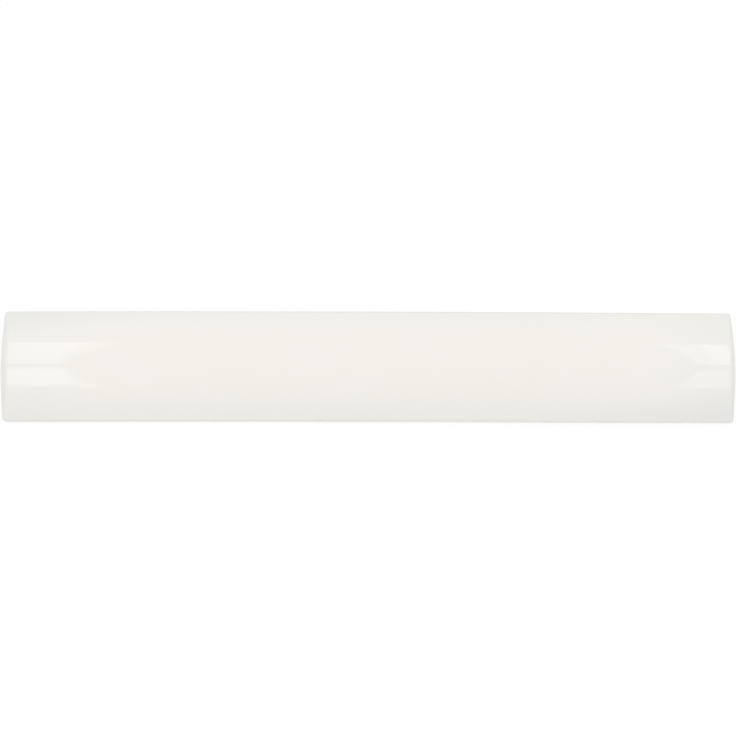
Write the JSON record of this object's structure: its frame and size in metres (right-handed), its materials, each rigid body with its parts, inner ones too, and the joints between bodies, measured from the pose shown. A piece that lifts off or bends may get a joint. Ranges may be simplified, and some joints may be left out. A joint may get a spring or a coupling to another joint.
{
  "type": "pencil liner tile",
  "caption": "Long narrow pencil liner trim tile in cream white gloss glaze, with a crowned face, rolled ends and a keyed biscuit back",
  "frame": {"origin": "middle of the bed, the flat keyed back that the tile lies on", "axes": "+X along the tile's length, +Y across its width, +Z out of the glazed crown"},
  "size_m": [0.2, 0.0304, 0.01],
  "materials": {
    "cream_glaze": "gloss"
  },
  "bodies": {
    "root": {"liner_tile": "cream_glaze"}
  },
  "joints": []
}
